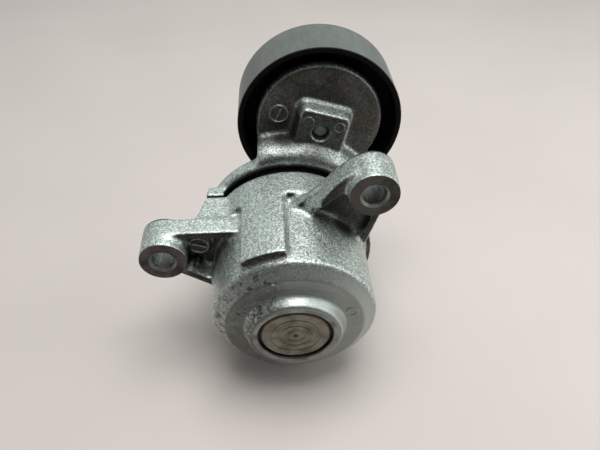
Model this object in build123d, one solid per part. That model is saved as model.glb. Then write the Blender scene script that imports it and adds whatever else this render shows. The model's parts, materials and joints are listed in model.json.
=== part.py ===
"""Automatic belt tensioner: spring housing, swinging arm and idler pulley.

Frame: the pivot axis is the Y axis. y = 0 is the plane on which the two bolt ears seat.
The closed end of the housing points to -Y, the pulley to +Y, and +Z is up.
All sizes are in millimetres.
"""
import os
from math import atan2, cos, degrees, hypot, radians, sin

from build123d import *

# ---- driving dimensions -------------------------------------------------------------------

# pulley and arm reach
PULLEY_R = 35.0
PULLEY_WIDTH = 23.0
PULLEY_NEAR_Y = 31.9
PULLEY_X, PULLEY_Z = 14.3, 47.3
PULLEY_AT = (PULLEY_X, PULLEY_Z)
RIM_WALL = 2.2

# spring housing, stations along the pivot axis
HOUSING_FRONT_Y = -42.0
SHOULDER_Y = -37.0
BARREL_FRONT_Y = -32.7
BAND_Y = 2.0
HOUSING_REAR_Y = 16.2
CHAMBER_FLOOR_Y = -30.5
COUNTERBORE_FLOOR_Y = -35.2
TUBE_END_Y = 8.0

# spring housing, radii
BOSS_R = 18.3
BOSS_FOOT_R = 19.5
SHOULDER_R = 26.8
BARREL_R = 32.6
BAND_R = 36.0
CHAMBER_R = 29.2
RIM_BORE_R = 31.9
COUNTERBORE_R = 14.8
TUBE_R = 13.4
BUSH_SEAT_R = 10.0

# raised pad on top of the barrel, angles from +Z towards +X
PAD_FRONT_Y = -30.5
PAD_FROM_DEG = -34.0
PAD_TO_DEG = -4.0

# bolt ears
EAR_FRONT_Y = -14.8
EAR_FRONT_R = 9.5
EAR_REAR_R = 10.0
BOLT_HOLE_R = 4.6
BOLT_HOLE_CHAMFER = 0.9
EAR_PLATE = 4.0
EAR_SEAT_PROUD = 0.5
RIB = 3.4
LEFT_EAR = (-51.5, 16.2)
RIGHT_EAR = (30.7, 46.3)
LEFT_ROOF_FRONT_Y = -9.5
LEFT_SOLE_FRONT_Y = -12.8
RIGHT_TOP_FRONT_Y = -10.5
RIGHT_SIDE_FRONT_Y = -7.0

# round casting marks
MARK_R = 4.2
MARK_STUB_R = 4.7
LEFT_MARK_AT = (-37.7, 17.6)
LEFT_MARK_Y = -7.0
EJECTOR_STUB_AT = (-39.2, 7.8)
EJECTOR_STUB_R = 1.9
EJECTOR_STUB_Y = -10.5
ARM_MARK_AT = (-3.1, 53.2)

# pivot shaft and its bushes
SHAFT_R = 8.0
SHAFT_HEAD_R = 13.5
SHAFT_HEAD_Y = -41.4
SHAFT_HEAD_LENGTH = 5.2
SHAFT_REAR_Y = 30.4
BUSH_CLEARANCE = 0.05
BUSH_LENGTH = 14.0
THRUST_WASHER_R = 13.3
ARM_THRUST_RING = 1.6
HEAD_SEAL_Y = -39.6
HEAD_SEAL_WIDTH = 2.0

# arm
HUB_FRONT_Y = 18.5
HUB_R = 38.5
HUB_LIP_R = 36.3
HUB_FLOOR_Y = 24.0
HUB_WALL_Y = 28.0
HUB_BOSS_Y = 30.4
HUB_REAR_ROUND = 3.2
COLLAR_R = 28.9
COLLAR_BORE_R = 26.2
COLLAR_FRONT_Y = 3.0
SHAFT_BOSS_R = 14.0
DISC_R = 27.1
DISC_Y = 33.6
DISC_REAR_Y = 37.6
DISC_EDGE = 2.6
NECK_R = 43.8
WRENCH_FACE_Y = 26.0
WRENCH_TOP_LEFT = -12.2
WRENCH_TOP_RIGHT = 11.4
WRENCH_FOOT_LEFT = -10.4
WRENCH_FOOT_RIGHT = 13.5
WRENCH_TOP = 10.4
WRENCH_FOOT = -16.0
WRENCH_CORNER = 3.6
WRENCH_EDGE = 1.1
WRENCH_TAPER = 10.0
BOLT_LEAD_R = 3.9
BOLT_LEAD_END_Y = 30.4
SPIGOT_R = 8.5
SPIGOT_SHOULDER_R = 11.6
SPIGOT_SHOULDER_Y = 39.0
SPIGOT_END_Y = 50.6
RUNNING_GAP = 1.3

# pulley bearing, 17 x 40 x 12 size
BEARING_BORE_R = 8.5
BEARING_OUTER_R = 20.0
BEARING_WIDTH = 12.0
BEARING_PITCH_R = 14.25
BALL_R = 3.3
GROOVE_R = 3.5
BALL_COUNT = 8
POCKET_R = 3.45
CAGE_INNER_R = 12.8
CAGE_OUTER_R = 15.9
CAGE_HALF = 4.2
INNER_LAND_R = 12.2
OUTER_LAND_R = 16.6

# M8 pulley bolt
BOLT_R = 4.0
THREAD_R = 3.3
BOLT_TIP_Y = 28.2
BOLT_TIP_CHAMFER = 1.0
BOLT_FLANGE_R = 8.6
BOLT_HEX_ACROSS = 13.0

# torsion spring
WIRE_R = 3.1
SPRING_R = 21.6
SPRING_TURNS = 6.5
SPRING_SEAT = 2.0

# damper sleeve and rim seal, both pressed on the arm's collar
SLEEVE_CLEARANCE = 0.1
SLEEVE_END_Y = 15.0
RIM_SEAL_R = 33.6
RIM_SEAL_Y = 16.7
COLLAR_ROOT_Y = 21.0

# index block on the housing and the arm's lug behind it
BLOCK_BOTTOM = 5.0
BLOCK_TOP = 25.6
BLOCK_REAR_Y = 13.3
LUG_BOTTOM = 15.0
LUG_TOP = 26.0
LUG_FRONT_Y = 13.9
LUG_REAR_Y = 19.8

# travel stops, tabs in the gap between housing and hub; angles from +Z towards +X
STOP_INNER_R = 33.9
STOP_OUTER_R = 35.8
STOP_FROM_DEG = 150.0
STOP_TO_DEG = 160.0
STOP_TAB_DEG = 8.0
STOP_GAP_DEG = 0.5
ARM_TRAVEL_DEG = 55.0

os.makedirs("parts", exist_ok=True)


# ---- shape helpers ------------------------------------------------------------------------

def disc_y(radius, y_low, y_high, at=(0.0, 0.0)):
    """Cylinder along Y from y_low to y_high, centred on at = (x, z)."""
    block = Cylinder(radius, y_high - y_low, align=(Align.CENTER, Align.CENTER, Align.MIN))
    return Pos(at[0], y_low, at[1]) * Rot(-90, 0, 0) * block


def ring_y(outer, inner, y_low, y_high, at=(0.0, 0.0)):
    """Tube along Y."""
    return disc_y(outer, y_low, y_high, at) - disc_y(inner, y_low - 1, y_high + 1, at)


def turned(points, at=(0.0, 0.0)):
    """Solid of revolution about the Y direction through at; points are (radius, y)."""
    outline = make_face(Polyline(*points, close=True))
    return Pos(at[0], 0, at[1]) * revolve(outline, Axis.Y)


def flat(points):
    """Closed outline from (x, z) corner points."""
    return make_face(Polyline(*points, close=True))


def slab(outline, y_low, y_high, taper=0.0):
    """Extrude an (x, z) outline between two stations; a taper narrows it towards -Y."""
    return extrude(Plane.XZ.offset(-y_high) * outline, amount=y_high - y_low, taper=taper)


def on_circle(radius, angle_deg, at=(0.0, 0.0)):
    """Point at an angle from +Z towards +X."""
    angle = radians(angle_deg)
    return (at[0] + radius * sin(angle), at[1] + radius * cos(angle))


def sector(inner, outer, from_deg, to_deg, y_low, y_high):
    """Block bounded by two radii and two angles about the pivot axis."""
    reach = outer * 1.6
    middle = (from_deg + to_deg) / 2
    corners = [on_circle(reach, angle) for angle in (from_deg, middle, to_deg)]
    wedge = flat([(0, 0)] + corners)
    return slab(wedge, y_low, y_high) & ring_y(outer, inner, y_low, y_high)


def bar(start, end, width):
    """Flat outline of a straight bar; its left edge, looking from start to end, is start-end."""
    length = hypot(end[0] - start[0], end[1] - start[1])
    across = ((end[1] - start[1]) / length * width, -(end[0] - start[0]) / length * width)
    far = (end[0] + across[0], end[1] + across[1])
    near = (start[0] + across[0], start[1] + across[1])
    return flat([start, end, far, near])


def save(solid, node):
    solid.label = node
    export_step(solid, f"parts/{node}.step")


# ---- spring housing -----------------------------------------------------------------------

def housing_shell():
    """Turned body: front boss, shoulder, barrel, rear band, spring chamber and centre tube."""
    return turned([
        (COUNTERBORE_R, HOUSING_FRONT_Y),
        (BOSS_R - 0.4, HOUSING_FRONT_Y),
        (BOSS_R, HOUSING_FRONT_Y + 0.4),
        (BOSS_FOOT_R, SHOULDER_Y),
        (SHOULDER_R, SHOULDER_Y),
        (BARREL_R, BARREL_FRONT_Y),
        (BARREL_R, BAND_Y),
        (BAND_R, BAND_Y),
        (BAND_R, HOUSING_REAR_Y - 0.5),
        (BAND_R - 0.5, HOUSING_REAR_Y),
        (RIM_BORE_R, HOUSING_REAR_Y),
        (RIM_BORE_R, COLLAR_FRONT_Y - 1.0),
        (CHAMBER_R, COLLAR_FRONT_Y - 2.5),
        (CHAMBER_R, CHAMBER_FLOOR_Y + 3.5),
        (CHAMBER_R - 3.5, CHAMBER_FLOOR_Y),
        (TUBE_R + 1.5, CHAMBER_FLOOR_Y),
        (TUBE_R, CHAMBER_FLOOR_Y + 1.5),
        (TUBE_R, TUBE_END_Y),
        (BUSH_SEAT_R, TUBE_END_Y),
        (BUSH_SEAT_R, COUNTERBORE_FLOOR_Y),
        (COUNTERBORE_R, COUNTERBORE_FLOOR_Y),
    ])


def ear_boss(centre):
    """Round boss whose rear face stands proud of the ear's plate and seats on the bracket."""
    return turned([
        (0, EAR_FRONT_Y),
        (EAR_FRONT_R, EAR_FRONT_Y),
        (EAR_REAR_R, 0),
        (0, 0),
    ], centre)


def left_ear():
    """Boss and plate between a level roof rib and a sloping sole rib."""
    x, z = LEFT_EAR
    roof = [(x, z + EAR_REAR_R), (-16.0, z + EAR_REAR_R)]
    sole = [(-47.0, 7.3), (-29.0, -5.2)]
    plate = slab(flat(roof + sole[::-1]), -EAR_PLATE, -EAR_SEAT_PROUD)
    roof_rib = slab(bar(roof[0], roof[1], RIB), LEFT_ROOF_FRONT_Y, -EAR_SEAT_PROUD)
    sole_rib = slab(bar(sole[1], sole[0], RIB), LEFT_SOLE_FRONT_Y, -EAR_SEAT_PROUD)
    mark_stub = disc_y(MARK_STUB_R, LEFT_MARK_Y, -EAR_PLATE + 1, LEFT_MARK_AT)
    ejector_stub = disc_y(EJECTOR_STUB_R, EJECTOR_STUB_Y, -EAR_PLATE + 1, EJECTOR_STUB_AT)
    return ear_boss(LEFT_EAR) + plate + roof_rib + sole_rib + mark_stub + ejector_stub


def right_ear():
    """Boss and plate between a swept top rib, cut back where it meets the barrel, and a side rib."""
    x, z = RIGHT_EAR
    top_start = (x - 5.9, z + 8.0)
    top_end = (1.0, 33.0)
    under = [(6.0, 31.5), (top_start[0] + 2.5, top_start[1] - 2.5)]
    top_line = Spline(top_start, (13.2, 44.0), (6.8, 36.2), top_end)
    rib_face = make_face(top_line + Polyline(top_end, *under, top_start))
    top_rib = slab(rib_face, RIGHT_TOP_FRONT_Y, -EAR_SEAT_PROUD)
    cut_back = [(12.0, -12.0), (12.0, -10.6), (4.5, -3.5), (-3.0, -3.5), (-3.0, -12.0)]
    top_rib -= plan_block(cut_back, 0.0, z + EAR_REAR_R)
    side = [(x + 8.2, z - 5.6), (31.0, 14.0)]
    side_rib = slab(bar(side[0], side[1], RIB), RIGHT_SIDE_FRONT_Y, -EAR_SEAT_PROUD)
    plate = slab(flat([top_start, top_end, side[1], side[0]]), -EAR_PLATE, -EAR_SEAT_PROUD)
    return ear_boss(RIGHT_EAR) + plate + top_rib + side_rib


def plan_block(outline, z_low, z_high):
    """Extrude an (x, y) outline upwards between two heights."""
    plan = make_face(Polyline(*outline, close=True))
    return Pos(0, 0, z_low) * extrude(plan, amount=z_high - z_low, dir=(0, 0, 1))


def index_block():
    """Block in the corner between the left ear's plate and the rear band."""
    outline = [
        (-40.0, -1.0),
        (-37.8, 3.0),
        (-36.6, 8.0),
        (-35.5, BLOCK_REAR_Y - 0.4),
        (-35.0, BLOCK_REAR_Y),
        (-22.0, BLOCK_REAR_Y),
        (-22.0, -1.0),
    ]
    return plan_block(outline, BLOCK_BOTTOM, BLOCK_TOP)


def index_lug():
    """Lug on the arm's hub ring, just behind the housing's index block."""
    outline = [
        (-35.5, LUG_FRONT_Y),
        (-34.6, LUG_REAR_Y),
        (-24.0, LUG_REAR_Y),
        (-24.0, LUG_FRONT_Y),
    ]
    lug = plan_block(outline, LUG_BOTTOM, LUG_TOP)
    lug -= disc_y(BAND_R + 0.6, 0, HUB_FRONT_Y)
    return lug - disc_y(HUB_R - 1, 0, HUB_FLOOR_Y)


def stop_tab(from_deg, to_deg, outer, y_low, y_high):
    return sector(STOP_INNER_R, outer, from_deg, to_deg, y_low, y_high)


def housing_stop():
    return stop_tab(STOP_FROM_DEG, STOP_TO_DEG, STOP_OUTER_R, HOUSING_REAR_Y - 0.5, COLLAR_ROOT_Y - 0.3)


def arm_stops():
    """Tabs that meet the housing's tab at the free-arm end and at the end of the travel."""
    free_end = STOP_TO_DEG + STOP_GAP_DEG
    far_end = STOP_FROM_DEG - ARM_TRAVEL_DEG - STOP_GAP_DEG
    tabs = [(free_end, free_end + STOP_TAB_DEG), (far_end - STOP_TAB_DEG, far_end)]
    low, high = HOUSING_REAR_Y + 0.3, COLLAR_ROOT_Y + 0.5
    return [stop_tab(start, end, HUB_LIP_R + 0.5, low, high) for start, end in tabs]


def bolt_hole(centre):
    """Through hole with a chamfer at both faces."""
    wide = BOLT_HOLE_R + BOLT_HOLE_CHAMFER
    return turned([
        (0, EAR_FRONT_Y - 1),
        (wide, EAR_FRONT_Y - 1),
        (wide, EAR_FRONT_Y),
        (BOLT_HOLE_R, EAR_FRONT_Y + BOLT_HOLE_CHAMFER),
        (BOLT_HOLE_R, -BOLT_HOLE_CHAMFER),
        (wide, 0),
        (wide, 1),
        (0, 1),
    ], centre)


def date_insert(at, y_face, towards=-1.0):
    """Round casting mark: a low rim with a bar across it, standing on a flat face."""
    low, high = sorted((y_face + 0.5 * towards, y_face - 0.5 * towards))
    rim = ring_y(MARK_R, MARK_R - 0.7, low, high, at)
    pointer = Pos(at[0], y_face, at[1]) * Rot(0, -20, 0) * Box(0.8, 1.0, 7.4)
    return rim + pointer


def spring_housing():
    shell = housing_shell()
    pad = sector(BARREL_R - 2, BAND_R, PAD_FROM_DEG, PAD_TO_DEG, PAD_FRONT_Y, BAND_Y + 1)
    outside = left_ear() + right_ear() + index_block()
    body = shell + pad + (outside - disc_y(CHAMBER_R + 1, -40, HOUSING_REAR_Y))
    body += date_insert(LEFT_MARK_AT, LEFT_MARK_Y)
    body -= disc_y(RIM_BORE_R, COLLAR_FRONT_Y - 1.0, HOUSING_REAR_Y + 1)
    body += housing_stop()
    body -= bolt_hole(LEFT_EAR)
    body -= bolt_hole(RIGHT_EAR)
    return body


# ---- pivot --------------------------------------------------------------------------------

def pivot_shaft():
    """Headed shaft; the head's face carries turning grooves and a centre mark."""
    head_back = SHAFT_HEAD_Y + SHAFT_HEAD_LENGTH
    shaft = turned([
        (0, SHAFT_HEAD_Y),
        (SHAFT_HEAD_R - 0.5, SHAFT_HEAD_Y),
        (SHAFT_HEAD_R, SHAFT_HEAD_Y + 0.5),
        (SHAFT_HEAD_R, head_back),
        (SHAFT_R, head_back),
        (SHAFT_R, SHAFT_REAR_Y - 0.8),
        (SHAFT_R - 0.8, SHAFT_REAR_Y),
        (0, SHAFT_REAR_Y),
    ])
    for groove_r in (3.4, 6.2, 9.6):
        shaft -= ring_y(groove_r + 0.25, groove_r - 0.25, SHAFT_HEAD_Y - 1, SHAFT_HEAD_Y + 0.15)
    centre_mark = turned([(0, SHAFT_HEAD_Y - 0.1), (1.3, SHAFT_HEAD_Y - 0.1), (0, SHAFT_HEAD_Y + 1.0)])
    return shaft - centre_mark


def plain_bush(y_low, y_high):
    return ring_y(BUSH_SEAT_R, SHAFT_R + BUSH_CLEARANCE, y_low, y_high)


def torsion_spring():
    """Round wire coiled about the tube."""
    start_y = CHAMBER_FLOOR_Y + SPRING_SEAT + WIRE_R
    end_y = HUB_FLOOR_Y - 0.4 - WIRE_R
    pitch = (end_y - start_y) / SPRING_TURNS
    path = Helix(pitch, end_y - start_y, SPRING_R)
    start = Plane(origin=path @ 0, z_dir=path % 0)
    coil = sweep(start * Circle(WIRE_R), path, is_frenet=True)
    return Pos(0, start_y, 0) * Rot(-90, 0, 0) * coil


# ---- arm ----------------------------------------------------------------------------------

def arm_tilt():
    """Angle of the arm from +Z towards +X, in degrees."""
    return degrees(atan2(PULLEY_X, PULLEY_Z))


def hub_shell():
    """Turned hub: ring, wall, collar for the damper sleeve and boss for the shaft."""
    boss_front = TUBE_END_Y + ARM_THRUST_RING
    return turned([
        (SHAFT_R, boss_front),
        (SHAFT_BOSS_R, boss_front),
        (SHAFT_BOSS_R, HUB_FLOOR_Y),
        (COLLAR_BORE_R, HUB_FLOOR_Y),
        (COLLAR_BORE_R, COLLAR_FRONT_Y),
        (COLLAR_R, COLLAR_FRONT_Y),
        (COLLAR_R, COLLAR_ROOT_Y),
        (HUB_LIP_R, COLLAR_ROOT_Y),
        (HUB_LIP_R, HUB_FRONT_Y),
        (HUB_LIP_R + 0.9, HUB_FRONT_Y),
        (HUB_R, HUB_FRONT_Y + 1.4),
        (HUB_R, HUB_WALL_Y - HUB_REAR_ROUND),
        (HUB_R - 0.3 * HUB_REAR_ROUND, HUB_WALL_Y - 0.3 * HUB_REAR_ROUND),
        (HUB_R - HUB_REAR_ROUND, HUB_WALL_Y),
        (SHAFT_BOSS_R + 1.0, HUB_WALL_Y),
        (SHAFT_BOSS_R, HUB_BOSS_Y),
        (SHAFT_R, HUB_BOSS_Y),
    ])


def neck_rise():
    """Turned body whose skin swells from the hub ring's front up to the neck's level top."""
    skin = Spline((HUB_R, HUB_FRONT_Y + 1.2), (42.0, 22.6), (43.4, 26.6), (NECK_R, DISC_Y))
    rest = Polyline((NECK_R, DISC_Y), (HUB_R - 1.0, DISC_Y), (HUB_R - 1.0, HUB_FRONT_Y + 1.2),
                    (HUB_R, HUB_FRONT_Y + 1.2))
    return revolve(make_face(skin + rest), Axis.Y)


def neck_outline():
    """Sides tangent to the disc, one upright and its mirror image about the arm's line."""
    turn = 2 * arm_tilt()
    left_x = PULLEY_X - DISC_R
    tangent = on_circle(DISC_R, 90 + turn, PULLEY_AT)
    length = 14.0
    foot = on_circle(length, 180 + turn, tangent)
    return flat([(left_x, PULLEY_Z), (left_x, 24.0), (foot[0], 18.0), foot, tangent, PULLEY_AT])


def wrench_outline():
    corners = [
        (WRENCH_TOP_LEFT, WRENCH_TOP),
        (WRENCH_TOP_RIGHT, WRENCH_TOP),
        (WRENCH_FOOT_RIGHT, WRENCH_FOOT),
        (WRENCH_FOOT_LEFT, WRENCH_FOOT),
    ]
    outline = flat(corners)
    return fillet(outline.vertices().group_by(Axis.Y)[-1], WRENCH_CORNER)


def wrench_boss():
    """Tapered block on the disc, in line with the arm, for a wrench when fitting the belt."""
    block = slab(wrench_outline(), WRENCH_FACE_Y, DISC_Y, taper=WRENCH_TAPER)
    block = fillet(block.edges().group_by(Axis.Y)[0], WRENCH_EDGE)
    place = Pos(PULLEY_X, 0, PULLEY_Z) * Rot(0, arm_tilt(), 0)
    return place * block


def tensioner_arm():
    clear_of_rim = PULLEY_R - RIM_WALL - RUNNING_GAP
    inside_rim = disc_y(clear_of_rim, HUB_FLOOR_Y, DISC_REAR_Y, PULLEY_AT)
    neck = slab(neck_outline(), HUB_FLOOR_Y, DISC_REAR_Y) & inside_rim
    pillar = neck & disc_y(HUB_R, HUB_FLOOR_Y, DISC_Y)
    rise = neck_rise() & slab(neck_outline(), HUB_FRONT_Y, DISC_Y)
    disc = disc_y(DISC_R, DISC_Y, DISC_REAR_Y, PULLEY_AT)
    disc = fillet(disc.edges().group_by(Axis.Y)[0], DISC_EDGE)
    body = pillar + (disc + (neck & disc_y(100, DISC_Y, DISC_REAR_Y)))
    body += hub_shell()
    body += wrench_boss() - disc_y(HUB_R - 3, WRENCH_FACE_Y - 5, HUB_FLOOR_Y)
    body += rise
    body += index_lug()
    for tab in arm_stops():
        body += tab
    body += disc_y(SPIGOT_SHOULDER_R, DISC_REAR_Y, SPIGOT_SHOULDER_Y, PULLEY_AT)
    body += disc_y(SPIGOT_R, DISC_REAR_Y, SPIGOT_END_Y, PULLEY_AT)
    body += date_insert(ARM_MARK_AT, DISC_Y)
    body -= disc_y(THREAD_R, WRENCH_FACE_Y - 1, SPIGOT_END_Y + 1, PULLEY_AT)
    body -= disc_y(BOLT_LEAD_R, WRENCH_FACE_Y - 1, BOLT_LEAD_END_Y, PULLEY_AT)
    body -= disc_y(SHAFT_R, 0, HUB_BOSS_Y + 1)
    return body


# ---- pulley and bearing -------------------------------------------------------------------

def pulley():
    far_y = PULLEY_NEAR_Y + PULLEY_WIDTH
    web_low, web_high = 44.4, 47.4
    hub_r = BEARING_OUTER_R + 3.0
    bore_low = SPIGOT_SHOULDER_Y + 0.3
    inner_r = PULLEY_R - RIM_WALL
    rim = turned([
        (inner_r, PULLEY_NEAR_Y),
        (PULLEY_R - 0.5, PULLEY_NEAR_Y),
        (PULLEY_R, PULLEY_NEAR_Y + 0.5),
        (PULLEY_R, far_y - 0.5),
        (PULLEY_R - 0.5, far_y),
        (inner_r, far_y),
    ], PULLEY_AT)
    web = ring_y(inner_r + 0.5, hub_r - 0.5, web_low, web_high, PULLEY_AT)
    hub = ring_y(hub_r, BEARING_OUTER_R, bore_low, SPIGOT_SHOULDER_Y + BEARING_WIDTH + 0.8, PULLEY_AT)
    body = rim + web + hub
    rib_low, rib_high = web_low + 0.5, far_y - 2.5
    rib_count = 16
    length = inner_r - hub_r + 1.0
    middle = (inner_r + hub_r) / 2
    for index in range(rib_count):
        x, z = on_circle(middle, index * 360 / rib_count, PULLEY_AT)
        rib = Box(1.6, rib_high - rib_low, length)
        body += Pos(x, (rib_low + rib_high) / 2, z) * Rot(0, index * 360 / rib_count, 0) * rib
    return body


def bearing_stations():
    low = SPIGOT_SHOULDER_Y
    return low, low + BEARING_WIDTH, low + BEARING_WIDTH / 2


def raceway(centre_y):
    """Torus swept out by the balls' groove."""
    ring = Torus(BEARING_PITCH_R, GROOVE_R)
    return Pos(PULLEY_X, centre_y, PULLEY_Z) * Rot(-90, 0, 0) * ring


def bearing_ring(outer, inner):
    low, high, centre = bearing_stations()
    return ring_y(outer, inner, low, high, PULLEY_AT) - raceway(centre)


def ball_angles():
    return [index * 360 / BALL_COUNT for index in range(BALL_COUNT)]


def bearing_ball(angle):
    x, z = on_circle(BEARING_PITCH_R, angle, PULLEY_AT)
    return Pos(x, bearing_stations()[2], z) * Sphere(BALL_R)


def bearing_cage():
    """Ring with a round pocket, drilled from outside, for each ball."""
    centre = bearing_stations()[2]
    cage = ring_y(CAGE_OUTER_R, CAGE_INNER_R, centre - CAGE_HALF, centre + CAGE_HALF, PULLEY_AT)
    pocket = Pos(0, 0, BEARING_PITCH_R) * Cylinder(POCKET_R, 8.0)
    for angle in ball_angles():
        cage -= Pos(PULLEY_X, centre, PULLEY_Z) * Rot(0, angle, 0) * pocket
    return cage


def bearing_seal(y_low):
    return ring_y(OUTER_LAND_R, INNER_LAND_R + 0.2, y_low, y_low + 0.9, PULLEY_AT)


def pulley_bolt():
    """Flanged hex bolt that clamps the bearing on the arm's spigot."""
    seat = SPIGOT_SHOULDER_Y + BEARING_WIDTH + 1.2
    shank = disc_y(THREAD_R, BOLT_TIP_Y, seat, PULLEY_AT)
    tip = [edge for edge in shank.edges() if abs(edge.center().Y - BOLT_TIP_Y) < 0.01]
    shank = chamfer(tip, BOLT_TIP_CHAMFER)
    flange = turned([
        (0, seat),
        (BOLT_FLANGE_R, seat),
        (BOLT_FLANGE_R, seat + 0.9),
        (BOLT_HEX_ACROSS / 2, seat + 1.8),
        (0, seat + 1.8),
    ], PULLEY_AT)
    hexagon = RegularPolygon(BOLT_HEX_ACROSS / 2, 6, major_radius=False)
    head = slab(Pos(*PULLEY_AT) * hexagon, seat + 1.0, seat + 6.5)
    return shank + flange + head


def dust_shield():
    seat = SPIGOT_SHOULDER_Y + BEARING_WIDTH
    return turned([
        (BOLT_R, seat),
        (INNER_LAND_R - 0.6, seat),
        (INNER_LAND_R + 1.0, seat + 0.6),
        (OUTER_LAND_R + 1.4, seat + 0.6),
        (OUTER_LAND_R + 1.4, seat + 1.2),
        (BOLT_R, seat + 1.2),
    ], PULLEY_AT)


# ---- write the nodes ----------------------------------------------------------------------

def main():
    save(spring_housing(), "spring_housing")
    save(pivot_shaft(), "pivot_shaft")

    head_back = SHAFT_HEAD_Y + SHAFT_HEAD_LENGTH
    seal_end = HEAD_SEAL_Y + HEAD_SEAL_WIDTH
    ring_end = TUBE_END_Y + ARM_THRUST_RING
    seat_end = CHAMBER_FLOOR_Y + SPRING_SEAT
    shaft_clear_r = SHAFT_R + 0.3
    save(ring_y(THRUST_WASHER_R, shaft_clear_r, head_back, COUNTERBORE_FLOOR_Y), "head_thrust_washer")
    save(plain_bush(COUNTERBORE_FLOOR_Y + 0.2, COUNTERBORE_FLOOR_Y + BUSH_LENGTH), "front_pivot_bush")
    save(plain_bush(TUBE_END_Y - BUSH_LENGTH, TUBE_END_Y), "rear_pivot_bush")
    save(ring_y(TUBE_R, shaft_clear_r, TUBE_END_Y, ring_end), "arm_thrust_ring")
    save(ring_y(COUNTERBORE_R, SHAFT_HEAD_R + BUSH_CLEARANCE, HEAD_SEAL_Y, seal_end), "head_seal_ring")
    save(ring_y(CHAMBER_R - 3.6, TUBE_R + 1.6, CHAMBER_FLOOR_Y, seat_end), "spring_seat")
    save(torsion_spring(), "torsion_spring")
    save(ring_y(RIM_BORE_R - SLEEVE_CLEARANCE, COLLAR_R, COLLAR_FRONT_Y, SLEEVE_END_Y), "damper_sleeve")
    save(ring_y(RIM_SEAL_R, COLLAR_R, RIM_SEAL_Y, COLLAR_ROOT_Y), "rim_seal_ring")

    save(tensioner_arm(), "tensioner_arm")
    save(pulley_bolt(), "pulley_bolt")
    save(dust_shield(), "dust_shield")

    save(pulley(), "pulley")
    low, high, _ = bearing_stations()
    save(bearing_ring(INNER_LAND_R, BEARING_BORE_R), "bearing_inner_ring")
    save(bearing_ring(BEARING_OUTER_R, OUTER_LAND_R), "bearing_outer_ring")
    save(bearing_cage(), "bearing_cage")
    save(bearing_seal(low + 0.3), "bearing_seal_front")
    save(bearing_seal(high - 1.2), "bearing_seal_rear")
    for number, angle in enumerate(ball_angles(), start=1):
        save(bearing_ball(angle), f"bearing_ball_{number}")


main()
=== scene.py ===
import json
from math import cos, pi, radians, sin

import bmesh
import bpy
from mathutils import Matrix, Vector


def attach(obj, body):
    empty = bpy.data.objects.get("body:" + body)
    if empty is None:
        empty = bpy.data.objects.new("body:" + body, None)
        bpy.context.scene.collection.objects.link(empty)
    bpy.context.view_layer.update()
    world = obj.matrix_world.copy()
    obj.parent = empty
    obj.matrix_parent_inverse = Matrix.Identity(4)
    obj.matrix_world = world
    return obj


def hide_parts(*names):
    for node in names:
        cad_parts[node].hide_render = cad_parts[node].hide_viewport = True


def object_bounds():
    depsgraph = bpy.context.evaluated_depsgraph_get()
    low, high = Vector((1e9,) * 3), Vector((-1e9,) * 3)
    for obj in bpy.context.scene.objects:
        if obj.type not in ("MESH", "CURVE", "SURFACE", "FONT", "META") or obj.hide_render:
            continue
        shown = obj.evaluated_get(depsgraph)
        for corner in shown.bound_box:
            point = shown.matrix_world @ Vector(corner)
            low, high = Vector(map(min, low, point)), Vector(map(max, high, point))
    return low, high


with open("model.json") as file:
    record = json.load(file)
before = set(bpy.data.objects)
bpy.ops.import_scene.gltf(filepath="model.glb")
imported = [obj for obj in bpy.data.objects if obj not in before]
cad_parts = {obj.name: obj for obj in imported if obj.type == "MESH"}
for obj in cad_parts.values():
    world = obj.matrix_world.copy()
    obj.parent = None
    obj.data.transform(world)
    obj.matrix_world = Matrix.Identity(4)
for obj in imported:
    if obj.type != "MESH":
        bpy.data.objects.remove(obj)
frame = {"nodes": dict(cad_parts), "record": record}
cad_low, cad_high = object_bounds()

MM = 0.001
NODES = frame["nodes"]

# Places on the castings in millimetres, in the CAD model's frame: (x, z), or one plane's y.
PIVOT_AXIS = (0, 0)
LEFT_EAR = (-51.5, 16.2)
RIGHT_EAR = (30.7, 46.3)
PULLEY_AT = (14.3, 47.3)
EAR_FRONT_Y = -14.8
HOUSING_FRONT_Y = -42.0
SHOULDER_Y = -37.0
WRENCH_FACE_Y = 26.0
DISC_Y = 33.6
PAD_SHADOW_Y = -30.4
LEFT_MARK = (-37.7, 17.6, -7.0)
ARM_MARK = (-3.1, 53.2, DISC_Y)
WRENCH_MARKS = [(9.0, 53.2), (22.0, 49.8)]
SHOULDER_MARKS = [(-7.9, 23.0), (-20.9, 11.3), (21.9, 7.7)]

# Machined faces, millimetres.
EAR_FACE_R = 9.3
EAR_BACK_R = 9.8
EAR_CHAMFER_R = 5.5
EAR_CHAMFER = 0.95
EAR_BORE_R = 4.52
BOSS_R = 17.0
BOSS_BORE_R = 14.72

# Casting skin, millimetres.
SKIN_VOXEL = 0.5
HOUSING_FILLET = 1.4
ARM_FILLET = 1.8
SKIN_SMOOTHING = 6

# Raised marks, millimetres.
DATE_MARK = {"radius": 4.3, "width": 0.85, "height": 0.85}
EJECTOR_MARK = {"radius": 2.4, "width": 0.5, "height": 0.26}
POINTER_HEIGHT = 0.7

# Painted shade in the housing's ear pockets and round the arm's wrench boss and neck: centre and reach
# in millimetres, and how much of the metal it darkens.
HOUSING_PAINTED_SHADE = [
    ((-38.0, -8.0, 13.0), 9.5, 0.93),
    ((24.0, -7.0, 28.0), 9.0, 0.93),
    ((28.5, -3.0, 26.5), 8.0, 0.93),
]
ARM_PAINTED_SHADE = [
    ((1.5, 29.5, 48.0), 12.0, 0.92),
    ((9.5, 26.5, 34.0), 13.0, 0.70),
]
# Painted shadow on the barrel along the front edge of the pad: centre and reach in millimetres.
PAD_SHADOW_AT = (-13.0, -31.5, 37.0)
PAD_SHADOW_REACH = 12.5

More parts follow.
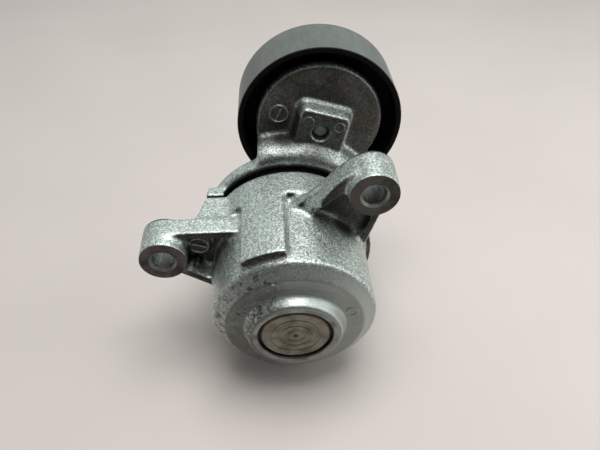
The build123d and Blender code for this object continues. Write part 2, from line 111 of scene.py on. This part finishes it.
# Texture scales, in cells for each metre.
CRYSTALS = 2100.0
FINE_GRAIN = 1900.0
PITS = 950.0
SPOTS = 700.0
MOTTLE = 640.0
SOOT = 420.0
STAINS = 170.0
BROWN_PATCHES = 110.0
WAVER = 90.0
CLOUDS = 60.0

# Linear colours.
CLEAN_CAST = (0.56, 0.62, 0.595)
# Dark colours for oily spots and for the painted shade on front faces, undersides, pockets and marks.
HOUSING_DIRT_AND_SHADE = (0.062, 0.062, 0.056)
ARM_DIRT_AND_SHADE = (0.092, 0.094, 0.087)
MARK_DIRT_AND_SHADE = (0.26, 0.27, 0.26)
BROWN = (1.12, 0.97, 0.84)
PULLEY_BLACK = (0.003, 0.003, 0.003)
# Grey of the pulley's running surface: belt wear and a painted sheen.
PULLEY_WORN_SHEEN = (0.135, 0.150, 0.143)
FLOOR_PAINT = (0.66, 0.60, 0.575)

# Camera and lights, metres and degrees.
CAMERA_AT = (-0.00513, -0.16047, 0.16913)
CAMERA_PITCH = 42.91
CAMERA_YAW = -3.26
CAMERA_LENS = 31.5
CAMERA_SENSOR = 36.0
ROOM_FRONT = (0.10, 0.10, 0.10, 1)
ROOM_BACK = (0.70, 0.745, 0.72, 1)
FLOOR_REACH = 3.0

SOCKETS = {
    "base_color": "Base Color",
    "metallic": "Metallic",
    "roughness": "Roughness",
    "normal": "Normal",
    "ior": "IOR",
}


# ---- node helpers -------------------------------------------------------------------------

class Shader:
    """A material's node tree with short calls for the nodes used here."""

    def __init__(self, name):
        self.material = bpy.data.materials.new(name)
        self.material.use_nodes = True
        self.tree = self.material.node_tree
        self.bsdf = self.tree.nodes["Principled BSDF"]
        self.coord = self.tree.nodes.new("ShaderNodeTexCoord")

    def plug(self, socket, value):
        """Link value if it is a socket, otherwise set it."""
        if isinstance(value, bpy.types.NodeSocket):
            self.tree.links.new(value, socket)
        elif socket.type == "RGBA":
            socket.default_value = (*value, 1.0)
        else:
            socket.default_value = value

    def set(self, **values):
        """Set or link the main shader's sockets by the short names in SOCKETS."""
        for key, value in values.items():
            self.plug(self.bsdf.inputs[SOCKETS[key]], value)

    def noise(self, scale, detail=3.0, roughness=0.5, stretch=None):
        """Cloudy noise, 0 to 1, in the piece's own coordinates."""
        node = self.tree.nodes.new("ShaderNodeTexNoise")
        node.inputs["Scale"].default_value = scale
        node.inputs["Detail"].default_value = detail
        node.inputs["Roughness"].default_value = roughness
        self.plug(node.inputs["Vector"], self.stretched(stretch))
        return node.outputs["Fac"]

    def stretched(self, stretch):
        """The piece's coordinates, scaled on each axis."""
        place = self.coord.outputs["Object"]
        if stretch is None:
            return place
        node = self.tree.nodes.new("ShaderNodeVectorMath")
        node.operation = "MULTIPLY"
        self.plug(node.inputs[0], place)
        node.inputs[1].default_value = stretch
        return node.outputs[0]

    def grains(self, scale):
        """A random value for each crystal-like cell."""
        node = self.tree.nodes.new("ShaderNodeTexVoronoi")
        node.inputs["Scale"].default_value = scale
        self.plug(node.inputs["Vector"], self.coord.outputs["Object"])
        split = self.tree.nodes.new("ShaderNodeSeparateColor")
        self.plug(split.inputs[0], node.outputs["Color"])
        return split.outputs[0]

    def math(self, operation, a, b=0.0):
        node = self.tree.nodes.new("ShaderNodeMath")
        node.operation = operation
        self.plug(node.inputs[0], a)
        self.plug(node.inputs[1], b)
        return node.outputs[0]

    def times(self, a, b):
        return self.math("MULTIPLY", a, b)

    def plus(self, a, b):
        return self.math("ADD", a, b)

    def larger(self, a, b):
        return self.math("MAXIMUM", a, b)

    def one_minus(self, a):
        return self.math("SUBTRACT", 1.0, a)

    def span(self, value, low, high, to_low=0.0, to_high=1.0):
        """Smooth step of value from low..high to to_low..to_high."""
        node = self.tree.nodes.new("ShaderNodeMapRange")
        node.interpolation_type = "SMOOTHSTEP"
        self.plug(node.inputs["Value"], value)
        node.inputs["From Min"].default_value = low
        node.inputs["From Max"].default_value = high
        node.inputs["To Min"].default_value = to_low
        node.inputs["To Max"].default_value = to_high
        return node.outputs[0]

    def vary(self, noise, low, high, margin=0.2):
        """Turn the middle of a noise's range into low..high."""
        return self.span(noise, margin, 1 - margin, low, high)

    def mix(self, factor, a, b):
        """Colour a at factor 0, colour b at factor 1."""
        node = self.tree.nodes.new("ShaderNodeMix")
        node.data_type = "RGBA"
        self.plug(node.inputs["Factor"], factor)
        self.plug(node.inputs[6], a)
        self.plug(node.inputs[7], b)
        return node.outputs[2]

    def shade(self, colour, factor):
        """Multiply a colour by a grey value."""
        node = self.tree.nodes.new("ShaderNodeVectorMath")
        node.operation = "SCALE"
        self.plug(node.inputs[0], colour)
        self.plug(node.inputs["Scale"], factor)
        return node.outputs[0]

    def axis(self, name, output="Object"):
        """X, Y or Z of the place, or of the normal."""
        node = self.tree.nodes.new("ShaderNodeSeparateXYZ")
        self.plug(node.inputs[0], self.coord.outputs[output])
        return node.outputs[name]

    def radius(self, centre=(0.0, 0.0)):
        """Distance from an axis parallel to Y, in metres."""
        dx = self.math("SUBTRACT", self.axis("X"), centre[0] * MM)
        dz = self.math("SUBTRACT", self.axis("Z"), centre[1] * MM)
        return self.math("SQRT", self.plus(self.times(dx, dx), self.times(dz, dz)))

    def near(self, centre, reach):
        """1 round a point given in millimetres, falling smoothly to 0 at reach."""
        node = self.tree.nodes.new("ShaderNodeVectorMath")
        node.operation = "DISTANCE"
        self.plug(node.inputs[0], self.coord.outputs["Object"])
        node.inputs[1].default_value = tuple(value * MM for value in centre)
        return self.span(node.outputs["Value"], 0.55 * reach * MM, reach * MM, 1.0, 0.0)

    def bump(self, height, depth, strength=1.0):
        node = self.tree.nodes.new("ShaderNodeBump")
        node.inputs["Strength"].default_value = strength
        node.inputs["Distance"].default_value = depth
        self.plug(node.inputs["Height"], height)
        return node.outputs[0]


# ---- materials ----------------------------------------------------------------------------

def bare_tone(s, front, mottle):
    """Brightness of the bare casting: crystal sparkle, mottling and dark pits."""
    crystals = s.span(s.grains(CRYSTALS), 0.0, 1.0, -0.46, 0.34)
    sparkle = s.times(crystals, s.span(front, 0.0, 1.0, 1.0, 0.8))
    tone = s.times(s.plus(1.0, sparkle), s.vary(mottle, 0.90, 1.08, margin=0.25))
    pits = s.span(s.noise(PITS, 5.0, 0.8), 0.37, 0.44, 0.42, 1.0)
    return s.times(tone, pits)


def dirt_and_painted_shade(s, front, shaded_places):
    """Cover of dark colour, 0 to 1: painted shade on the front faces, oily spots, and painted shade
    round the given places.
    """
    clouds = s.span(s.noise(CLOUDS, 3.0, 0.6), 0.2, 0.6, 0.80, 1.0)
    spots = s.span(s.noise(SPOTS, 5.0, 0.75), 0.60, 0.70)
    # Painted shade on the faces that look to -Y, with oily spots on any face.
    dirt_and_shade = s.larger(s.times(front, clouds), s.times(spots, 0.55))
    # Painted shade round each given place.
    for centre, reach, most in shaded_places:
        dirt_and_shade = s.larger(dirt_and_shade, s.times(s.near(centre, reach), most))
    return dirt_and_shade


def housing_painted_shade(s, dirt_and_shade):
    """Painted shade on the housing's underside and a painted shadow on the barrel along the front edge
    of its pad.
    """
    # Painted shade on faces that look down.
    underside_shade = s.times(s.axis("Z", "Normal"), -1.0)
    dirt_and_shade = s.larger(dirt_and_shade, s.span(underside_shade, 0.0, 0.6, 0.0, 0.85))
    # Painted shadow in a band along the pad's front edge.
    rise = s.span(s.axis("Y"), (PAD_SHADOW_Y - 2.1) * MM, PAD_SHADOW_Y * MM)
    fall = s.span(s.axis("Y"), PAD_SHADOW_Y * MM, (PAD_SHADOW_Y + 0.6) * MM, 1.0, 0.0)
    pad_shadow = s.times(s.times(s.near(PAD_SHADOW_AT, PAD_SHADOW_REACH), rise), fall)
    return s.larger(dirt_and_shade, pad_shadow)


def turned_front(s, tone, dirt_and_shade):
    """The housing's turned front end: smooth towards +X, sooty towards -X."""
    ahead = s.span(s.axis("Y"), -34.5 * MM, -32.5 * MM, 1.0, 0.0)
    side = s.plus(s.axis("X"), s.times(s.noise(WAVER, 3.0), 16 * MM))
    smooth = s.times(ahead, s.span(side, -6 * MM, 10 * MM, 0.35, 1.0))
    tone = s.plus(s.times(tone, s.one_minus(smooth)), s.times(smooth, 0.92))
    left = s.times(ahead, s.span(side, -6 * MM, 10 * MM, 1.0, 0.0))
    soot = s.times(left, s.span(s.noise(SOOT, 5.0, 0.75), 0.46, 0.60, 0.10, 0.85))
    worn = s.one_minus(s.times(smooth, 0.5))
    return tone, s.larger(s.times(dirt_and_shade, worn), soot)


def cast_aluminium(name, dirt_shade_colour, brown_spread=1.0, shaded_places=(), housing=False):
    """Die-cast skin: crystal grain, soft pits, oily spots, and painted shade on the faces that look to
    -Y.
    """
    s = Shader(name)
    fine = s.noise(FINE_GRAIN, 2.0)
    mottle = s.noise(MOTTLE, 4.0, 0.6)
    # Faces that look to -Y: the dark colour laid on them is painted shade.
    front = s.span(s.times(s.axis("Y", "Normal"), -1.0), 0.7, 0.95)
    tone = bare_tone(s, front, mottle)
    dirt_and_shade = dirt_and_painted_shade(s, front, shaded_places)
    if housing:
        tone, dirt_and_shade = turned_front(s, tone, housing_painted_shade(s, dirt_and_shade))
    patches = s.span(s.noise(BROWN_PATCHES, 3.0, 0.6), 0.42, 0.66, 0.0, brown_spread)
    # Dark colour for oily spots and painted shade, with brown stains in patches.
    stain_and_shade = s.mix(patches, dirt_shade_colour, s.shade(BROWN, dirt_shade_colour[1] * 0.85))
    s.set(
        base_color=s.mix(dirt_and_shade, s.shade(CLEAN_CAST, tone), s.shade(stain_and_shade, tone)),
        metallic=1.0,
        roughness=s.vary(fine, 0.38, 0.58, margin=0.25),
        normal=s.bump(s.plus(fine, s.times(mottle, 1.4)), 0.16 * MM, 0.75),
    )
    return s.material


def machined_metal(name, colour, dark, centre, pitch, depth, roughness):
    """Turned face: fine rings round an axis, with worn and stained patches."""
    s = Shader(name)
    wobble = s.times(s.noise(WAVER, 2.0), 0.25 * MM)
    turns = s.times(s.plus(s.radius(centre), wobble), 2 * pi / (pitch * MM))
    rings = s.math("SINE", turns)
    stain = s.span(s.noise(STAINS, 4.0, 0.65), 0.32, 0.72)
    tone = s.plus(1.0, s.times(rings, 0.05))
    s.set(
        base_color=s.shade(s.mix(stain, colour, dark), tone),
        metallic=1.0,
        roughness=s.span(stain, 0.0, 1.0, roughness, roughness + 0.18),
        normal=s.bump(s.plus(rings, s.noise(2600.0, 2.0)), depth * MM, 0.6),
    )
    return s.material


def moulded_plastic():
    """Black pulley plastic, polished where the belt runs; the grey of the running surface is belt wear
    and a painted sheen.
    """
    s = Shader("pulley_plastic")
    outer = s.span(s.radius(PULLEY_AT), 34.75 * MM, 34.92 * MM)
    scuff = s.noise(500.0, 4.0, 0.6, stretch=(1.0, 0.25, 1.0))
    matt = s.span(outer, 0.0, 1.0, 0.35, 0.0)
    s.set(
        base_color=s.mix(outer, PULLEY_BLACK, s.shade(PULLEY_WORN_SHEEN, s.vary(scuff, 0.76, 1.12))),
        roughness=s.plus(s.vary(scuff, 0.30, 0.42), matt),
        ior=1.22,
        normal=s.bump(s.noise(1600.0, 3.0), 0.03 * MM, 0.4),
    )
    return s.material


def plain(name, colour, roughness, metallic=0.0, spread=0.2):
    """Even finish with a fine grain and slight colour change."""
    s = Shader(name)
    cloud = s.noise(900.0, 3.0)
    s.set(
        base_color=s.shade(colour, s.vary(cloud, 1 - spread, 1 + spread)),
        metallic=metallic,
        roughness=s.vary(cloud, roughness - 0.06, roughness + 0.06),
        normal=s.bump(s.noise(1800.0, 2.0), 0.04 * MM, 0.4),
    )
    return s.material


cast_housing = cast_aluminium("cast_housing", HOUSING_DIRT_AND_SHADE, shaded_places=HOUSING_PAINTED_SHADE, housing=True)
cast_arm = cast_aluminium("cast_arm", ARM_DIRT_AND_SHADE, shaded_places=ARM_PAINTED_SHADE)
cast_marks = cast_aluminium("cast_marks", MARK_DIRT_AND_SHADE, brown_spread=0.0)
boss_metal = machined_metal(
    "machined_boss", (0.30, 0.31, 0.30), (0.16, 0.16, 0.15), PIVOT_AXIS,
    pitch=0.35, depth=0.01, roughness=0.36,
)
ear_metal = {
    "left": machined_metal(
        "machined_left_ear", (0.105, 0.094, 0.087), (0.055, 0.049, 0.045), LEFT_EAR,
        pitch=0.5, depth=0.02, roughness=0.40,
    ),
    "right": machined_metal(
        "machined_right_ear", (0.090, 0.087, 0.078), (0.050, 0.047, 0.042), RIGHT_EAR,
        pitch=0.5, depth=0.02, roughness=0.40,
    ),
}
bore_metal = plain("drilled_bore", (0.33, 0.335, 0.325), 0.5, 1.0)
SLOTS = {
    "cast_housing": cast_housing,
    "cast_arm": cast_arm,
    "shaft_steel": machined_metal(
        "shaft_steel", (0.235, 0.225, 0.185), (0.15, 0.14, 0.112), PIVOT_AXIS,
        pitch=0.8, depth=0.008, roughness=0.42,
    ),
    "pulley_plastic": moulded_plastic(),
    "bush_polymer": plain("bush_polymer", (0.10, 0.09, 0.07), 0.45),
    "friction_polymer": plain("friction_polymer", (0.03, 0.03, 0.03), 0.5),
    "seal_rubber": plain("seal_rubber", (0.012, 0.012, 0.012), 0.6),
    "spring_steel": plain("spring_steel", (0.05, 0.05, 0.055), 0.45, 0.8),
    "bearing_steel": plain("bearing_steel", (0.62, 0.62, 0.63), 0.2, 1.0, spread=0.05),
    "cage_plastic": plain("cage_plastic", (0.45, 0.38, 0.2), 0.45),
    "bolt_steel": plain("bolt_steel", (0.20, 0.245, 0.21), 0.4, 0.9),
    "shield_steel": plain("shield_steel", (0.42, 0.43, 0.44), 0.35, 1.0),
}


def paint_nodes():
    """Give every CAD node the material of its slot in the record."""
    for row in frame["record"]["subparts"]:
        mesh = NODES[row["node"]].data
        mesh.materials.clear()
        mesh.materials.append(SLOTS[row["material_slot"]])


# ---- geometry helpers ---------------------------------------------------------------------

def add_piece(mesh, name, material, body):
    """A new visible piece that rides on a body."""
    piece = bpy.data.objects.new(name, mesh)
    bpy.context.scene.collection.objects.link(piece)
    mesh.materials.clear()
    mesh.materials.append(material)
    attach(piece, body)
    return piece


def finish_mesh(bm, name, sharp=35.0):
    """Smooth-shaded mesh, with edges over sharp degrees left crisp."""
    bmesh.ops.recalc_face_normals(bm, faces=bm.faces)
    mesh = bpy.data.meshes.new(name)
    bm.to_mesh(mesh)
    bm.free()
    mesh.shade_smooth()
    mesh.set_sharp_from_angle(angle=radians(sharp))
    return mesh


def lathe(name, outline, centre, segments=128):
    """Closed outline of (radius, y) in millimetres, turned about an axis parallel to Y."""
    bm = bmesh.new()
    rings = []
    for step in range(segments):
        angle = 2 * pi * step / segments
        places = [
            (centre[0] + r * sin(angle), y, centre[1] + r * cos(angle)) for r, y in outline
        ]
        rings.append([bm.verts.new((x * MM, y * MM, z * MM)) for x, y, z in places])
    count = len(outline)
    for step in range(segments):
        here, there = rings[step], rings[(step + 1) % segments]
        for i in range(count):
            j = (i + 1) % count
            bm.faces.new((here[i], here[j], there[j], there[i]))
    return finish_mesh(bm, name)


def cast_skin(node, voxel, fillet, passes):
    """The node's solid with cast fillets in its inner corners and softly rounded edges."""
    source = bpy.data.objects.new("source", NODES[node].data.copy())
    bpy.context.scene.collection.objects.link(source)

    def remesh(size):
        step = source.modifiers.new("remesh", "REMESH")
        step.mode = "VOXEL"
        step.voxel_size = size

    def grow(distance):
        step = source.modifiers.new("grow", "DISPLACE")
        step.mid_level = 0.0
        step.strength = distance

    remesh(voxel)
    grow(fillet)
    remesh(voxel)
    grow(-fillet)
    remesh(voxel)
    soften = source.modifiers.new("soften", "SMOOTH")
    soften.factor = 0.5
    soften.iterations = passes
    graph = bpy.context.evaluated_depsgraph_get()
    mesh = bpy.data.meshes.new_from_object(source.evaluated_get(graph))
    bpy.data.objects.remove(source)
    mesh.shade_smooth()
    mesh.name = node + "_skin"
    return mesh


# ---- castings -----------------------------------------------------------------------------

def casting(node, material, body, fillet):
    """The visible skin of a cast node, in place of its CAD mesh."""
    mesh = cast_skin(node, SKIN_VOXEL * MM, fillet * MM, SKIN_SMOOTHING)
    piece = add_piece(mesh, node + "_casting", material, body)
    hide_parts(node)


def ear_facing(side, centre):
    """Machined rings on both ends of a bolt ear, and its drilled and chamfered bore."""
    front, back = EAR_FRONT_Y - 0.06, 0.05
    rings = [
        (EAR_FACE_R, front), (EAR_CHAMFER_R, front), (EAR_CHAMFER_R, back), (EAR_BACK_R, back),
        (EAR_BACK_R, back - 0.5), (EAR_CHAMFER_R + 0.8, back - 0.5),
        (EAR_CHAMFER_R + 0.8, front + 0.5), (EAR_FACE_R, front + 0.5),
    ]
    name = side + "_ear_facing"
    add_piece(lathe(name, rings, centre), name, ear_metal[side], "housing")
    bore = [
        (EAR_CHAMFER_R, front), (EAR_BORE_R, front + EAR_CHAMFER), (EAR_BORE_R, back - EAR_CHAMFER),
        (EAR_CHAMFER_R, back), (EAR_CHAMFER_R + 0.02, back - 0.3), (EAR_CHAMFER_R + 0.02, front + 0.3),
    ]
    name = side + "_ear_bore"
    add_piece(lathe(name, bore, centre), name, bore_metal, "housing")


def boss_facing():
    """Faced rim of the front boss, round the shaft's head."""
    front = HOUSING_FRONT_Y
    outline = [
        (BOSS_R, front + 0.1), (BOSS_R - 0.4, front), (BOSS_BORE_R + 0.38, front),
        (BOSS_BORE_R, front + 0.4), (BOSS_BORE_R, front + 4.0), (15.4, front + 4.0),
        (15.6, front + 0.8), (BOSS_R, front + 0.6),
    ]
    mesh = lathe("boss_facing", outline, PIVOT_AXIS)
    add_piece(mesh, "boss_facing", boss_metal, "housing")


def mark_ring(name, at, y, size, material, body):
    """Raised ring with a rounded crest, standing on the plane y."""
    radius, width, height = size["radius"], size["width"], size["height"]
    outline = [
        (radius, y + 0.4), (radius, y - 0.6 * height), (radius - 0.25 * width, y - height),
        (radius - 0.75 * width, y - height), (radius - width, y - 0.6 * height),
        (radius - width, y + 0.4),
    ]
    add_piece(lathe(name, outline, at, 64), name, material, body)


def pointer(name, at, y, angle, material, body):
    """Arrow of a round casting mark."""
    bm = bmesh.new()
    half = [(0.0, 3.3), (0.85, 1.5), (0.32, 1.5), (0.32, -3.2)]
    outline = half + [(-x, z) for x, z in reversed(half[1:])]
    turn = radians(angle)
    corners = [(x * cos(turn) + z * sin(turn), z * cos(turn) - x * sin(turn)) for x, z in outline]

    def face(depth):
        places = [(at[0] + x, depth, at[1] + z) for x, z in corners]
        points = [bm.verts.new((x * MM, y * MM, z * MM)) for x, y, z in places]
        bm.faces.new(points)
        return points

    near = face(y - POINTER_HEIGHT)
    far = face(y + 0.3)
    for i in range(len(near)):
        j = (i + 1) % len(near)
        bm.faces.new((near[i], near[j], far[j], far[i]))
    add_piece(finish_mesh(bm, name), name, material, body)


def casting_mark(name, place, angle, body):
    """Round date mark without figures: a rim and a pointer."""
    x, z, y = place
    mark_ring(name + "_rim", (x, z), y, DATE_MARK, cast_marks, body)
    pointer(name + "_pointer", (x, z), y, angle, cast_marks, body)


def ejector_marks(name, places, y, material, body):
    for number, at in enumerate(places, start=1):
        mark_ring(f"{name}_{number}", at, y, EJECTOR_MARK, material, body)


# ---- stage --------------------------------------------------------------------------------

def make_camera():
    data = bpy.data.cameras.new("camera")
    camera = bpy.data.objects.new("camera", data)
    bpy.context.scene.collection.objects.link(camera)
    camera.location = CAMERA_AT
    pitch, yaw = radians(CAMERA_PITCH), radians(CAMERA_YAW)
    forward = Vector((-sin(yaw) * cos(pitch), cos(yaw) * cos(pitch), -sin(pitch)))
    camera.rotation_mode = "QUATERNION"
    camera.rotation_quaternion = forward.to_track_quat("-Z", "Y")
    data.lens = CAMERA_LENS
    data.sensor_width = CAMERA_SENSOR
    data.clip_start = 5 * MM
    bpy.context.scene.camera = camera


def area_light(name, place, target, size, power, colour):
    """Square lamp at place, turned to target."""
    light = bpy.data.lights.new(name, "AREA")
    light.size = size
    light.energy = power
    light.color = colour
    lamp = bpy.data.objects.new(name, light)
    lamp.location = place
    lamp.rotation_euler = (Vector(target) - Vector(place)).to_track_quat("-Z", "Y").to_euler()
    bpy.context.scene.collection.objects.link(lamp)


def make_lights():
    area_light("overhead", (0.06, 0.06, 0.75), (0, 0.02, 0.02), 0.50, 4.6, (1.0, 0.99, 0.97))
    area_light("right_fill", (0.60, -0.05, 0.30), (0, 0, 0.03), 0.45, 1.3, (0.97, 1.0, 0.98))


def make_world():
    """Soft room light, bright behind the object and dim in front of it."""
    world = bpy.data.worlds.new("room")
    bpy.context.scene.world = world
    world.use_nodes = True
    tree = world.node_tree
    coord = tree.nodes.new("ShaderNodeTexCoord")
    split = tree.nodes.new("ShaderNodeSeparateXYZ")
    span = tree.nodes.new("ShaderNodeMapRange")
    span.interpolation_type = "SMOOTHSTEP"
    mix = tree.nodes.new("ShaderNodeMix")
    mix.data_type = "RGBA"
    tree.links.new(coord.outputs["Generated"], split.inputs[0])
    tree.links.new(split.outputs["Y"], span.inputs["Value"])
    span.inputs["From Min"].default_value = -0.35
    span.inputs["From Max"].default_value = 0.75
    tree.links.new(span.outputs[0], mix.inputs["Factor"])
    mix.inputs[6].default_value = ROOM_FRONT
    mix.inputs[7].default_value = ROOM_BACK
    tree.links.new(mix.outputs[2], tree.nodes["Background"].inputs["Color"])


def make_floor():
    """Plain pale floor under the lowest point."""
    bm = bmesh.new()
    reach = FLOOR_REACH
    corners = [(-reach, -reach), (reach, -reach), (reach, reach), (-reach, reach)]
    bm.faces.new([bm.verts.new((x, y, cad_low.z)) for x, y in corners])
    mesh = finish_mesh(bm, "floor")
    floor = bpy.data.objects.new("floor", mesh)
    bpy.context.scene.collection.objects.link(floor)
    s = Shader("floor_paint")
    s.set(base_color=s.shade(FLOOR_PAINT, s.vary(s.noise(9.0, 3.0), 0.97, 1.03)), roughness=0.55)
    mesh.materials.append(s.material)


def main():
    make_camera()
    paint_nodes()
    casting("spring_housing", cast_housing, "housing", HOUSING_FILLET)
    casting("tensioner_arm", cast_arm, "arm", ARM_FILLET)
    ear_facing("left", LEFT_EAR)
    ear_facing("right", RIGHT_EAR)
    boss_facing()
    casting_mark("housing_mark", LEFT_MARK, -70.0, "housing")
    casting_mark("arm_mark", ARM_MARK, 25.0, "arm")
    ejector_marks("wrench_ejector", WRENCH_MARKS, WRENCH_FACE_Y, cast_arm, "arm")
    ejector_marks("shoulder_ejector", SHOULDER_MARKS, SHOULDER_Y, cast_housing, "housing")
    make_floor()
    make_world()
    make_lights()
    bpy.context.scene.view_settings.view_transform = "Standard"


main()
